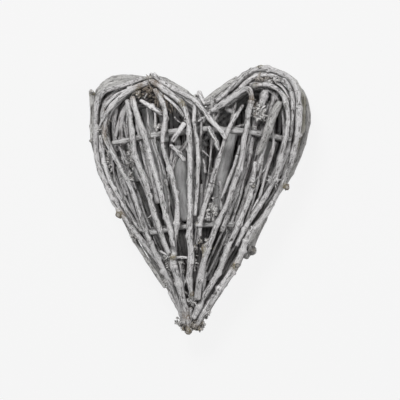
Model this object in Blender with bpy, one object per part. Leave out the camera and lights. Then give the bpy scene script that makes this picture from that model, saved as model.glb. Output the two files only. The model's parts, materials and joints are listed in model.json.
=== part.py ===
"""A hollow, plump heart made of dry rattan twigs, lying on its back with its tip towards -Y.

The twigs' routes are traced in picture units: x to the right, y down, seen from the front.
They are mapped onto the real heart and get their height from how far they lie inside its outline.
Then they are settled against each other, so that they lie on one another with a small gap.
"""
import bpy
import bmesh
import numpy as np

# Driving dimensions, in metres. The heart's edge is rounded over its front and its back rounding,
# and it grows from nothing to its full depth over the taper at its tip.
HEART_WIDTH = 0.249
HEART_HEIGHT = 0.300
HEART_DEPTH = 0.082
EDGE_ROUNDING = 0.048
BACK_ROUNDING = 0.056
TIP_TAPER = 0.120
FRONT_DIAMETER = 0.0064
RIM_DIAMETER = 0.0070
INNER_DIAMETER = 0.0062
CROSSBAR_DIAMETER = 0.0066
BACK_DIAMETER = 0.0086
TWIG_GAP = 0.0003
FLAT_SPOT_CUT = 0.0008
POINT_SPACING = 0.0155
TOP_ROOM = 0.0062
LIFT_STEP = 0.001

# A back twig that carries the heart dips by the drop, over the length either way, and is pressed
# on the floor, where its underside is cut flat
FOOT_DROP = 0.0022
FOOT_PRESS = 0.0012
FOOT_LENGTH = 0.048

# The traced heart's extent, in picture units
TRACE_LEFT = 89.0
TRACE_RIGHT = 312.5
TRACE_TOP = 66.0
TRACE_BOTTOM = 334.5

OUTLINE = (
    (191, 335), (166, 294), (130, 238), (104, 182), (92, 140), (89, 104), (98, 84), (120, 75),
    (148, 73), (180, 84), (206, 98), (230, 80), (257, 67), (284, 69), (303, 84), (312, 112),
    (308, 145), (290, 182), (256, 246), (212, 310),
)

# The layers of the cage, from its front to its back
FRONT, BAR, INNER, RIM, BACK_BAR, BACK = "front", "bar", "inner", "rim", "back bar", "back"

# Each twig: its name, its layer, its thickness at start, middle and end as shares of its layer's,
# its lift above the layer in steps, and its route
TWIGS = (
    ("left_rim_twig", RIM, (0.9, 0.6, 0.7), 3, (
        (93, 93), (93, 112), (95, 142), (102, 172), (115, 200), (131, 231), (150, 262), (167, 288))),
    ("left_side_twig", FRONT, (0.7, 1.05, 0.9), -1, (
        (144, 80), (125, 88), (106, 94), (98, 106), (97, 130), (99, 157), (112, 192), (128, 219),
        (150, 248), (171, 279))),
    ("left_side_inner_twig", FRONT, (0.75, 0.8, 0.7), -4, (
        (102, 136), (105, 158), (113, 183), (128, 215), (142, 235))),
    ("left_arch_twig", FRONT, (0.95, 0.9, 0.4), 1, (
        (149, 85), (134, 92), (118, 105), (106, 120), (101, 130))),
    ("left_long_twig", FRONT, (0.6, 0.85, 0.9), -1, (
        (110, 112), (106, 132), (112, 150), (130, 182), (144, 221), (155, 249), (170, 280), (181, 305),
        (186, 322))),
    ("left_middle_twig", FRONT, (0.95, 1.05, 0.9), 0, (
        (130, 101), (133, 124), (138, 155), (148, 180), (156, 210), (167, 240), (173, 254))),
    ("left_ringed_twig", FRONT, (0.9, 0.95, 0.9), 1, (
        (134, 99), (140, 119), (148, 141), (155, 165), (167, 209), (173, 236), (176, 247))),
    ("left_trunk_twig", FRONT, (0.8, 1.0, 1.4), 0, (
        (157, 90), (166, 105), (168, 119), (165, 150), (176, 191), (178, 216), (175, 256), (184, 291),
        (188, 310), (190, 334))),
    ("left_thin_shoot", FRONT, (0.8, 0.85, 0.75), -3, (
        (142, 102), (154, 110), (165, 117))),
    ("left_stub_shoot", FRONT, (0.9, 0.8, 0.8), 2, (
        (188, 125), (181, 133), (174, 143))),
    ("left_short_shoot", FRONT, (0.75, 0.85, 0.8), -1, (
        (172, 146), (180, 154), (187, 162))),
    ("middle_long_twig", FRONT, (1.0, 0.95, 1.1), 2, (
        (151, 81), (168, 93), (184, 105), (190, 119), (191, 160), (192, 203), (193, 249), (191, 276),
        (193, 290), (195, 303))),
    ("middle_inner_strand", FRONT, (0.65, 0.65, 0.6), -1, (
        (160, 92), (176, 105), (186, 118))),
    ("middle_knotted_twig", FRONT, (0.6, 0.75, 0.65), 4, (
        (152, 75), (167, 88), (184, 99), (196, 107), (197, 128), (199, 160), (198, 190), (196, 216))),
    ("notch_crossing_twig", FRONT, (0.8, 0.85, 0.75), 7, (
        (155, 77), (176, 91), (197, 103), (211, 121), (227, 141))),
    ("left_back_edge_twig", RIM, (1.1, 1.0, 0.9), -6, (
        (155, 79), (172, 85), (190, 95), (203, 108))),
    ("right_side_twig", FRONT, (0.8, 1.0, 1.0), 3, (
        (212, 106), (230, 91), (250, 75), (268, 71), (290, 79), (299, 98), (298, 130), (291, 169),
        (273, 206), (251, 233))),
    ("right_lower_side_twig", FRONT, (1.1, 1.25, 1.2), 2, (
        (247, 239), (237, 265), (221, 289), (204, 313), (197, 327))),
    ("right_inner_side_twig", FRONT, (0.8, 1.05, 0.85), -2, (
        (222, 105), (244, 85), (262, 76), (283, 79), (294, 97), (293, 122), (289, 148), (279, 172))),
    ("right_bent_twig", FRONT, (0.9, 0.95, 1.2), 4, (
        (212, 113), (232, 101), (251, 91), (252, 104), (247, 130), (242, 163), (228, 203), (210, 249),
        (201, 280), (199, 299))),
    ("right_parallel_strand", FRONT, (0.55, 0.65, 0.6), -1, (
        (241, 147), (233, 172), (223, 199))),
    ("right_outer_twig", FRONT, (0.75, 0.95, 0.9), 1, (
        (255, 87), (271, 88), (284, 98), (289, 119), (284, 145), (275, 180), (256, 212), (237, 246))),
    ("right_lower_long_twig", FRONT, (0.85, 1.0, 1.05), 0, (
        (256, 163), (253, 185), (243, 214), (230, 247), (219, 273), (203, 298), (193, 318))),
    ("right_middle_twig", FRONT, (0.6, 0.9, 0.75), 1, (
        (244, 107), (231, 129), (220, 164), (209, 198), (202, 222), (201, 238))),
    ("right_fork_shoot", FRONT, (0.75, 0.8, 0.7), -1, (
        (210, 128), (216, 140), (221, 152))),
    ("right_smooth_twig", FRONT, (1.45, 1.5, 0.7), -1, (
        (282, 103), (274, 118), (266, 138), (258, 156))),
    ("right_short_twig", INNER, (1.25, 1.25, 1.1), 4, (
        (268, 87), (264, 100), (258, 115), (252, 140), (246, 170), (234, 200), (222, 232))),
    ("right_blunt_twig", INNER, (1.25, 1.2, 1.0), 3, (
        (277, 93), (273, 113), (267, 140), (258, 172), (243, 208), (226, 244))),
    ("right_top_edge_twig", RIM, (1.15, 1.15, 1.1), -3, (
        (208, 102), (223, 90), (240, 79))),
    ("right_rim_twig", RIM, (1.15, 1.35, 1.3), -6, (
        (262, 72), (284, 75), (299, 88), (308, 108), (306, 138), (292, 172), (270, 208), (252, 247),
        (246, 259))),
    ("right_inner_rim_twig", RIM, (1.0, 1.05, 0.8), 7, (
        (216, 103), (234, 90), (253, 77), (270, 72), (290, 78), (303, 94), (304, 118), (299, 145),
        (287, 176), (268, 210), (246, 248), (226, 279), (204, 311))),
    ("right_lower_rim_twig", RIM, (1.0, 1.1, 0.8), -17, (
        (222, 98), (244, 82), (268, 76), (291, 82), (303, 102), (302, 132), (288, 172), (261, 218),
        (239, 264), (217, 296), (199, 324))),
    ("left_upper_crossbar", BAR, (0.8, 1.0, 0.9), 0, (
        (114, 144), (143, 139), (180, 132))),
    ("right_upper_crossbar", BAR, (0.9, 1.0, 0.85), 0, (
        (204, 130), (240, 132), (293, 141))),
    ("lower_crossbar", BAR, (0.8, 1.0, 0.8), -5, (
        (139, 231), (157, 233), (190, 227), (214, 225), (237, 226))),
    ("back_upper_crossbar", BACK_BAR, (0.9, 1.0, 0.9), 0, (
        (100, 147), (150, 138), (192, 131), (240, 132), (298, 142))),
    ("back_lower_crossbar", BACK_BAR, (0.8, 0.9, 0.8), 3, (
        (140, 232), (196, 227), (256, 228))),
    ("left_inner_twig", INNER, (0.9, 1.05, 0.9), -6, (
        (123, 107), (122, 132), (126, 163), (137, 195), (150, 228))),
    ("left_back_rim_twig", RIM, (1.2, 1.25, 0.9), -8, (
        (150, 80), (122, 80), (101, 91), (95, 112), (99, 146), (114, 187), (137, 231), (163, 274),
        (184, 313))),
    ("left_lower_rim_twig", RIM, (1.1, 1.15, 0.8), -17, (
        (156, 82), (126, 82), (104, 95), (99, 115), (103, 149), (118, 190), (143, 236), (168, 280),
        (187, 318))),
    ("back_left_twig_1", BACK, (0.9, 1.0, 0.7), 0, (
        (158, 88), (128, 86), (106, 100), (104, 136), (116, 176), (143, 226), (169, 274), (187, 316))),
    ("back_left_twig_2", BACK, (0.9, 1.0, 0.7), 0, (
        (172, 94), (140, 92), (117, 104), (115, 140), (128, 182), (150, 230), (172, 278), (187, 312))),
    ("back_left_twig_3", BACK, (0.9, 1.0, 0.7), 0, (
        (184, 98), (153, 96), (128, 108), (126, 146), (140, 190), (159, 234), (177, 278))),
    ("back_left_twig_4", BACK, (0.9, 1.0, 0.7), 0, (
        (140, 106), (140, 150), (151, 192), (167, 236), (182, 284))),
    ("back_left_twig_5", BACK, (0.85, 0.95, 0.7), 0, (
        (152, 104), (153, 141), (163, 182), (174, 228), (186, 276))),
    ("back_left_twig_6", BACK, (0.9, 1.0, 0.8), 0, (
        (165, 104), (166, 150), (174, 190), (183, 236), (190, 290))),
    ("back_middle_twig_1", BACK, (1.0, 1.05, 0.8), 0, (
        (178, 106), (180, 150), (184, 190), (190, 240), (193, 300))),
    ("back_middle_twig_2", BACK, (1.0, 1.05, 0.8), 0, (
        (192, 110), (193, 150), (195, 200), (197, 250), (195, 316))),
    ("back_middle_twig_3", BACK, (1.0, 1.05, 0.8), 0, (
        (206, 112), (206, 150), (206, 200), (204, 250), (198, 306))),
    ("back_right_twig_6", BACK, (0.9, 1.0, 0.8), 0, (
        (221, 104), (219, 150), (216, 200), (210, 250), (202, 296))),
    ("back_right_twig_5", BACK, (0.9, 1.0, 0.8), 0, (
        (235, 98), (233, 150), (226, 196), (216, 246), (206, 282))),
    ("back_right_twig_4", BACK, (0.9, 1.0, 0.8), 0, (
        (248, 94), (247, 146), (237, 194), (223, 242), (208, 282))),
    ("back_right_twig_3", BACK, (0.9, 1.0, 0.8), 0, (
        (224, 104), (250, 88), (262, 108), (260, 146), (248, 190), (230, 238), (212, 280))),
    ("back_right_twig_2", BACK, (0.9, 1.0, 0.8), 0, (
        (238, 94), (262, 84), (276, 102), (274, 140), (259, 188), (239, 234), (216, 280), (202, 306))),
    ("back_right_twig_1", BACK, (0.9, 1.0, 0.8), 0, (
        (246, 82), (270, 78), (289, 98), (288, 134), (270, 188), (248, 232), (222, 282), (200, 316))),
)

# The back twigs that dip to the floor and rest on it, and where along the trace each one does
FEET = {"back_left_twig_4": 132, "back_right_twig_3": 132, "back_middle_twig_2": 245}

# Settling: how easily a twig gives way sideways and in height, how strongly it returns to its route,
# and how evenly it shares a push along its length
SIDE_GIVE = 0.35
HEIGHT_GIVE = 1.0
RETURN = 0.05
STIFFNESS = 0.35
CROWDING = 0.4
SETTLE_ROUNDS = 160
CLEARING_ROUNDS = 900
ROUNDS_PER_SEARCH = 8
SEARCH_REACH = 0.003
GAP_TOLERANCE = TWIG_GAP / 30
SAME_PLACE = 1e-9
PARALLEL = 1e-16

# The mesh: steps of a route between two traced points, and the bevel steps of a six-sided tube
ROUTE_STEPS = 12
OUTLINE_STEPS = 4
TUBE_RESOLUTION = 1
WELD = 0.00001
SMOOTH_ANGLE = 0.9
ROUGHNESS = 0.9

DIAMETERS = {
    FRONT: FRONT_DIAMETER,
    BAR: CROSSBAR_DIAMETER,
    INNER: INNER_DIAMETER,
    RIM: RIM_DIAMETER,
    BACK_BAR: CROSSBAR_DIAMETER,
    BACK: BACK_DIAMETER,
}
BARK = {
    FRONT: (0.55, 0.53, 0.52),
    BAR: (0.48, 0.46, 0.45),
    INNER: (0.42, 0.40, 0.39),
    RIM: (0.50, 0.48, 0.45),
    BACK_BAR: (0.40, 0.38, 0.37),
    BACK: (0.42, 0.40, 0.39),
}


def plan(points):
    """Traced points as metres in the heart's plan, centred on its middle."""
    traced = np.array(points, float)
    across = (traced[:, 0] - (TRACE_LEFT + TRACE_RIGHT) / 2) / (TRACE_RIGHT - TRACE_LEFT)
    along = ((TRACE_TOP + TRACE_BOTTOM) / 2 - traced[:, 1]) / (TRACE_BOTTOM - TRACE_TOP)
    return np.stack([across * HEART_WIDTH, along * HEART_HEIGHT], axis=1)


def smooth_route(points, steps):
    """A smooth curve through the points, sampled finely."""
    ends = np.concatenate([[2 * points[0] - points[1]], points, [2 * points[-1] - points[-2]]])
    t = np.arange(steps)[:, None] / steps
    runs = []
    for i in range(1, len(ends) - 2):
        a, b, c, d = ends[i - 1:i + 3]
        bend = (2 * a - 5 * b + 4 * c - d) * t * t + (3 * b - a - 3 * c + d) * t * t * t
        runs.append(b + ((c - a) * t + bend) / 2)
    return np.concatenate(runs + [points[-1:]])


def evenly(route, spacing):
    """The route with its points an even distance apart, and each point's share of the length."""
    step = route[1:] - route[:-1]
    along = np.concatenate([[0.0], np.cumsum(np.sqrt(step[:, 0] ** 2 + step[:, 1] ** 2))])
    count = max(3, int(np.ceil(along[-1] / spacing)) + 1)
    share = np.arange(count) / (count - 1)
    wanted = share * along[-1]
    return np.stack([np.interp(wanted, along, route[:, k]) for k in (0, 1)], axis=1), share


def inside_depth(flat):
    """How far each plan point lies inside the heart's outline."""
    corners = smooth_route(plan(OUTLINE + OUTLINE[:1]), OUTLINE_STEPS)
    start, step = corners[:-1], corners[1:] - corners[:-1]
    away = flat[:, None, :] - start[None]
    along = away[..., 0] * step[:, 0] + away[..., 1] * step[:, 1]
    t = np.clip(along / (step[:, 0] ** 2 + step[:, 1] ** 2), 0, 1)
    dx = away[..., 0] - t * step[:, 0]
    dy = away[..., 1] - t * step[:, 1]
    return np.sqrt((dx * dx + dy * dy).min(axis=1))


def dome(distance, rounding):
    """A quarter circle's rise: 0 at the edge, and 1 from the rounding inwards."""
    left = 1 - np.clip(distance / rounding, 0, 1)
    return np.sqrt(1 - left * left)


def target_height(layer, lift, flat):
    """The height at which a twig of this layer would lie by itself."""
    middle = HEART_DEPTH / 2
    inside = inside_depth(flat)
    taper = dome(flat[:, 1] + HEART_HEIGHT / 2, TIP_TAPER)
    front_rise = middle - FRONT_DIAMETER / 2 - TOP_ROOM
    back_drop = middle - BACK_DIAMETER / 2 + FLAT_SPOT_CUT - FOOT_DROP
    front = front_rise * dome(inside, EDGE_ROUNDING)
    under_front = (FRONT_DIAMETER + CROSSBAR_DIAMETER) / 2
    over_back = (BACK_DIAMETER + CROSSBAR_DIAMETER) / 2
    rises = {
        FRONT: front,
        BAR: np.full(len(flat), front_rise - under_front),
        INNER: front - under_front - CROSSBAR_DIAMETER,
        RIM: np.zeros(len(flat)),
        BACK_BAR: np.full(len(flat), over_back - back_drop),
        BACK: -back_drop * dome(inside, BACK_ROUNDING),
    }
    return middle + (rises[layer] + lift * LIFT_STEP) * taper


def foot_dip(name, flat):
    """How far a twig dips below its layer to stand on the floor."""
    if name not in FEET:
        return 0.0
    spot = plan([(TRACE_LEFT, FEET[name])])[0, 1]
    away = np.clip((flat[:, 1] - spot) / FOOT_LENGTH, -1, 1)
    return (FOOT_DROP + FOOT_PRESS) * (1 - away * away) ** 2


def lay_out():
    """Every twig's target points and radii, one after another, and where each twig starts."""
    places, radii, starts = [], [], [0]
    for name, layer, shares, lift, route in TWIGS:
        flat, share = evenly(smooth_route(plan(route), ROUTE_STEPS), POINT_SPACING)
        height = target_height(layer, lift, flat) - foot_dip(name, flat)
        places.append(np.column_stack([flat, height]))
        radii.append(np.interp(share, (0, 0.5, 1), shares) * DIAMETERS[layer] / 2)
        starts.append(starts[-1] + len(flat))
    return np.concatenate(places), np.concatenate(radii), starts


def dot(a, b):
    """The dot product of each pair of rows."""
    return a[:, 0] * b[:, 0] + a[:, 1] * b[:, 1] + a[:, 2] * b[:, 2]


def closest(points, first, second):
    """Where each pair of stretches comes closest: the shares along both, and what lies between."""
    u = points[first + 1] - points[first]
    v = points[second + 1] - points[second]
    w = points[first] - points[second]
    uu, uv, vv, uw, vw = dot(u, u), dot(u, v), dot(v, v), dot(u, w), dot(v, w)
    spread = uu * vv - uv * uv
    crossing = (uv * vw - vv * uw) / np.maximum(spread, PARALLEL)
    s = np.clip(np.where(spread > PARALLEL, crossing, 0.5), 0, 1)
    t = np.clip((uv * s + vw) / vv, 0, 1)
    s = np.clip((uv * t - uw) / uu, 0, 1)
    between = w + u * s[:, None] - v * t[:, None]
    return s, t, between, np.sqrt(dot(between, between))


def near_pairs(points, radii, stretch, owner):
    """The pairs of stretches, of different twigs, that lie close enough to matter."""
    middle = (points[stretch] + points[stretch + 1]) / 2
    along = points[stretch + 1] - points[stretch]
    reach = np.sqrt(dot(along, along)) / 2 + np.maximum(radii[stretch], radii[stretch + 1]) + SEARCH_REACH
    a, b = np.triu_indices(len(stretch), 1)
    apart = middle[a] - middle[b]
    near = dot(apart, apart) < (reach[a] + reach[b]) ** 2
    keep = near & (owner[stretch[a]] != owner[stretch[b]])
    return stretch[a[keep]], stretch[b[keep]]


def push_apart(points, radii, first, second):
    """Moves overlapping stretches apart, each by its share, and returns the worst overlap."""
    s, t, between, distance = closest(points, first, second)
    thick = radii[first] * (1 - s) + radii[first + 1] * s + radii[second] * (1 - t) + radii[second + 1] * t
    short = thick + TWIG_GAP - distance
    hit = short > 0
    if not hit.any():
        return 0.0
    first, second, s, t, short = first[hit], second[hit], s[hit], t[hit], short[hit]
    away = between[hit] / np.maximum(distance[hit], SAME_PLACE)[:, None]
    away[distance[hit] < SAME_PLACE] = (0.0, 0.0, 1.0)
    eased = away * np.array([SIDE_GIVE, SIDE_GIVE, HEIGHT_GIVE])
    shares = (1 - s) ** 2 + s ** 2 + (1 - t) ** 2 + t ** 2
    move = eased * (short / (dot(away, eased) * shares))[:, None]
    change, count = np.zeros_like(points), np.zeros(len(points))
    for at, weight in ((first, 1 - s), (first + 1, s), (second, t - 1), (second + 1, -t)):
        np.add.at(change, at, weight[:, None] * move)
        np.add.at(count, at, 1.0)
    points += change / np.maximum(1.0, count * CROWDING)[:, None]
    return float(short.max())


def settle():
    """The twigs' points once they lie on each other without overlapping, their radii and starts."""
    target, radii, starts = lay_out()
    points = target.copy()
    owner = np.repeat(np.arange(len(TWIGS)), np.diff(starts))
    stretch = np.flatnonzero(owner[:-1] == owner[1:])
    inner = 1 + np.flatnonzero(owner[:-2] == owner[2:])
    pressed = np.array([row[0] in FEET for row in TWIGS])[owner]
    floor = radii - np.where(pressed, FLAT_SPOT_CUT, 0)
    for step in range(SETTLE_ROUNDS + CLEARING_ROUNDS):
        if step % ROUNDS_PER_SEARCH == 0:
            first, second = near_pairs(points, radii, stretch, owner)
        if step < SETTLE_ROUNDS:
            points -= (points - target) * RETURN * (1 - step / SETTLE_ROUNDS)
            shift = points - target
            mean = (shift[inner - 1] + shift[inner + 1]) / 2
            points[inner] += STIFFNESS * (mean - shift[inner])
        worst = push_apart(points, radii, first, second)
        points[:, 2] = np.maximum(points[:, 2], floor)
        if step > SETTLE_ROUNDS and worst < GAP_TOLERANCE:
            break
    centre(points, radii, inner)
    return points, radii, starts


def centre(points, radii, inner):
    """Moves the twigs so that the heart's box is centred over the origin."""
    reach = np.zeros(len(points))
    reach[inner] = radii[inner]
    for axis in (0, 1):
        along = points[:, axis]
        points[:, axis] -= ((along + reach).max() + (along - reach).min()) / 2


def collection(name):
    """A new collection in the scene."""
    made = bpy.data.collections.new(name)
    bpy.context.scene.collection.children.link(made)
    return made


def bark(name, colour):
    """Dry, matt bark of one colour."""
    made = bpy.data.materials.new(name)
    made.use_nodes = True
    shader = made.node_tree.nodes["Principled BSDF"]
    shader.inputs["Base Color"].default_value = (*colour, 1.0)
    shader.inputs["Roughness"].default_value = ROUGHNESS
    shader.inputs["Metallic"].default_value = 0.0
    return made


def tube(name, points, radii):
    """A tube through the points, with its own radius at each."""
    curve = bpy.data.curves.new(name, "CURVE")
    curve.dimensions = "3D"
    curve.bevel_depth = 1.0
    curve.bevel_resolution = TUBE_RESOLUTION
    curve.use_fill_caps = True
    spline = curve.splines.new("POLY")
    spline.points.add(len(points) - 1)
    for spot, place, radius in zip(spline.points, points, radii):
        spot.co = (*place, 1.0)
        spot.radius = radius
    return bpy.data.objects.new(name, curve)


def flattened(twig, within):
    """The twig as a mesh whose underside is cut flat where it would go below the floor."""
    depsgraph = bpy.context.evaluated_depsgraph_get()
    mesh = bpy.data.meshes.new_from_object(twig.evaluated_get(depsgraph))
    name = twig.name
    bpy.data.objects.remove(twig)
    shape = bmesh.new()
    shape.from_mesh(mesh)
    bmesh.ops.remove_doubles(shape, verts=shape.verts, dist=WELD)
    everything = shape.verts[:] + shape.edges[:] + shape.faces[:]
    cut = bmesh.ops.bisect_plane(shape, geom=everything, plane_co=(0, 0, 0), plane_no=(0, 0, -1),
                                 clear_outer=True)
    rim = [edge for edge in cut["geom_cut"] if isinstance(edge, bmesh.types.BMEdge)]
    bmesh.ops.contextual_create(shape, geom=rim)
    shape.to_mesh(mesh)
    shape.free()
    solid = bpy.data.objects.new(name, mesh)
    within.objects.link(solid)
    mesh.shade_smooth()
    mesh.set_sharp_from_angle(angle=SMOOTH_ANGLE)
    return solid


def main():
    for old in list(bpy.data.objects):
        bpy.data.objects.remove(old)
    heart = collection("rattan_heart")
    points, radii, starts = settle()
    for i, (name, layer, shares, lift, route) in enumerate(TWIGS):
        here = slice(starts[i], starts[i + 1])
        twig = tube(name, points[here], radii[here])
        heart.objects.link(twig)
        if name in FEET:
            twig = flattened(twig, heart)
        twig.data.materials.append(bark(name, BARK[layer]))


main()
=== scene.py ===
"""Looks of a hollow rattan heart: bark, knots and cut ends for every twig, and the loose bits between.

Places on the heart are points of a 400 x 400 picture of its front, x to the right and y down.
Each twig follows the centreline of the solid that it replaces.
"""
import itertools
import json
import math

import bpy
import numpy as np
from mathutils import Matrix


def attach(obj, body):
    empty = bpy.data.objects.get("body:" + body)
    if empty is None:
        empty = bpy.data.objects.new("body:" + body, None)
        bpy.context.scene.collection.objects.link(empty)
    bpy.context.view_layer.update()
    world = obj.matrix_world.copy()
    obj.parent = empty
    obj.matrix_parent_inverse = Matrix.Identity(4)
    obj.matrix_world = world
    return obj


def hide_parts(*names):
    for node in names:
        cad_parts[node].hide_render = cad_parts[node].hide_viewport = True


# The picture: the size of one pixel on the heart, and the pixel over the middle of its box
PICTURE_SIZE = 400
PIXEL = 0.0011157
MIDDLE_X = 200.6
MIDDLE_Y = 201.0

# The camera: its lens and sensor in mm, the pixel over which it hangs, and the height at which PIXEL holds
LENS = 180.0
SENSOR = 36.0
AIM_X = 200.8
AIM_Y = 200.7
FOCUS_HEIGHT = 0.045

# Reading the solids: corners of one ring lie nearer than this, and those on the floor are left out
RING_REACH = 0.0062
FLOOR_CORNER = 0.0002

# The meshes: how far apart the rings lie in m, and how many sides they have
FRONT_RINGS = (0.0013, 22)
BACK_RINGS = (0.00195, 18)
COARSE_RINGS = (0.0022, 12)
THICK_STRAND_RINGS = (0.0013, 16)
THIN_STRAND_RINGS = (0.0012, 10)
STUB_RINGS = (0.0006, 16)
BIT_SIDES = 8
MM = 1000.0

# The first seed of each kind of random draw, and how far apart the seeds of two groups lie
SEED = {"tone": 500, "filling": 900, "wall": 1300, "smooth": 1400, "strand": 1500, "stub": 2000,
        "tuft": 2100, "bit": 3000, "joint": 7000}
SEED_STEP = {"filling": 37, "laid": 20, "bit": 97}

# The back twigs from left to right
BACK_ROW = (
    [f"back_left_twig_{i}" for i in range(1, 7)]
    + [f"back_middle_twig_{i}" for i in range(1, 4)]
    + [f"back_right_twig_{i}" for i in range(6, 0, -1)]
)

# Natural joints: the spacing, the share of it before the first, the bare end after the last, and the bend
JOINT_SPACING = (0.014, 0.036)
FIRST_JOINT = 0.6
LAST_JOINT = 0.008
KINK = 0.0008

# Each joint: its rise in radii, its width in m, the depth of its fold, how many joints have a bump, and the
# bump's rise and scar
JOINT_RISE = (0.12, 0.38)
JOINT_WIDTH = (0.0020, 0.0040)
FOLD_DEPTH = 0.08
BUMP_SHARE = 0.8
BUMP_RISE = (0.35, 1.0)
SCAR_DEPTH = 0.2

# The bark: how its grain is stretched along a twig and shifted from one to the next, its relief in radii,
# and the lengths of its swellings and lumps in mm
GRAIN_STRETCH = 7.0
GRAIN_SHIFT = (13.7, 5.3, 3.1)
SWELLING = 0.32
SWELLING_LENGTH = 22
LUMPS = 0.34
LUMP_LENGTH = 14
RIDGES = 0.55
CRACK_DEPTH = 0.15
PIT_DEPTH = 0.12
CRUST = 0.16

# Twig ends: how far the edge is rounded and to what share, a pointed end, and the lip and dip of the cut
END_ROUNDING = 0.0016
END_SHARE = 0.72
POINT_LENGTH = 0.008
POINT_POWER = 0.6
POINT_SHARE = 0.12
LIP_SHARE = 0.55
LIP_RISE = 0.0003
CUT_DIP = 0.0004

# How far beside a twig a mark's place may lie, and how much height that costs it against other twigs
MARK_REACH = 0.003
MARK_PENALTY = 2

# How many front twigs tell how high loose pieces lie, and how evenly they count, in m
SKIN_TWIGS = 4
SKIN_BLUR = 0.002

# What is kept at each corner for the material, and what a cut end has of it
MASKS = ("relief", "hollow", "lichen", "brown", "olive_shade", "painted_shade", "cut")
CUT_MASKS = (0.6, 0.0, 0.0, 0.0, 0.0, 0.0, 1.0)

# Painted shade in clefts between twigs: the cells counted as full or empty, how far off each corner is
# looked at and with what weight, how full it is there between unshaded and shaded, and how dark it gets
CELL = 0.002
MARGIN = 8
CLEFTS = ((0.0022, 0.5), (0.005, 0.35), (0.010, 0.15))
CLEFT_RANGE = (0.16, 0.58)
CLEFT_SHADE = 0.92

# Painted shade on what faces the hollow: where its core is, how squarely a place must face it, over what
# distance towards the tip it grows and how dark it gets; and painted shade on the twigs' flanks
CORE_HEIGHT = 0.036
CORE_SHARES = (0.55, 0.9, 0.0)
FACING_RANGE = (0.1, 0.8)
LOW_RANGE = (0.02, -0.04)
INSIDE_SHADE = (0.35, 0.45)
FLANK_RANGE = (0.85, 0.25)
FLANK_SHADE = 0.6

# Bark: the colours of wash and bare bark, how much the wash covers, and how strong streaks and spots are
BARKS = {
    "whitewashed_bark": ((0.86, 0.845, 0.845), (0.37, 0.35, 0.345), 0.37, 0.9, 0.9),
    "rim_bark": ((0.70, 0.69, 0.675), (0.27, 0.255, 0.235), 0.27, 0.9, 0.8),
    "crossbar_bark": ((0.76, 0.75, 0.745), (0.36, 0.345, 0.34), 0.36, 0.8, 0.75),
    "inner_bark": ((0.68, 0.665, 0.665), (0.24, 0.225, 0.225), 0.24, 0.95, 0.9),
    "back_bark": ((0.62, 0.61, 0.61), (0.26, 0.25, 0.25), 0.34, 0.8, 0.85),
    "smooth_bark": ((0.95, 0.945, 0.94), (0.82, 0.81, 0.805), 0.5, 0.4, 0.15),
    "tuft_bark": ((0.84, 0.825, 0.81), (0.22, 0.19, 0.165), 0.24, 1.0, 0.95),
    "brown_bark": ((0.56, 0.52, 0.48), (0.10, 0.075, 0.055), 0.18, 1.0, 0.95),
    "umber_bark": ((0.36, 0.31, 0.26), (0.075, 0.055, 0.04), 0.15, 1.0, 0.95),
    # Painted shade: a near-black bark for strands and bits that lie deep in the shade between twigs
    "bark_in_deep_shade": ((0.10, 0.09, 0.09), (0.035, 0.032, 0.032), 0.20, 0.8, 0.9),
}

# The colours of dark spots, painted shade, brown places, olive patches of painted shade on the right rim,
# lichen and cut ends
CREVICE = (0.035, 0.030, 0.028)
PAINTED_SHADE_COLOUR = (0.045, 0.040, 0.038)
BROWN = (0.20, 0.145, 0.095)
OLIVE_SHADE = (0.33, 0.315, 0.265)
LICHEN = (0.37, 0.32, 0.20)
LICHEN_DARK = (0.15, 0.13, 0.09)
CUT_END = (0.50, 0.46, 0.40)

# The material's noises: scale, detail and roughness
NOISES = {
    "streaks": (1.3, 6.0, 0.75),
    "fine": (3.4, 4.0, 0.75),
    "cracks": (0.5, 2.0, 0.5),
    "cracked": (0.3, 1.0, 0.5),
    "blotches": (0.16, 3.0, 0.6),
    "specks": (1.3, 2.0, 0.6),
    "ground": (0.5, 3.0, 0.7),
}

# The material's shine, and the depth of its finest relief in m
SPECULAR = 0.25
BUMP_DISTANCE = 0.0009

# How rough the bark's relief is, and between what limits chance makes a piece dark or light
ROUGHNESS = {"front": 0.85, "back": 0.6, "filling": 0.7, "thick": 0.7, "thin": 0.5, "stub": 1.0, "bit": 0.9}
TONES = {"twig": (0.25, 0.75), "filling": (0.1, 0.7), "laid": (0.3, 0.8), "strand": (0.35, 0.8),
         "bit": (0.0, 1.0)}

# Twigs with a look of their own: the bark, the roughness of its relief and how light it is
FINISH_OF = {"right_smooth_twig": "rim_bark"}
ROUGHNESS_OF = {"right_smooth_twig": 0.3, "right_top_edge_twig": 0.35, "right_rim_twig": 0.35}
TONE_OF = {"right_rim_twig": 0.3, "right_smooth_twig": 0.25}

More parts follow.
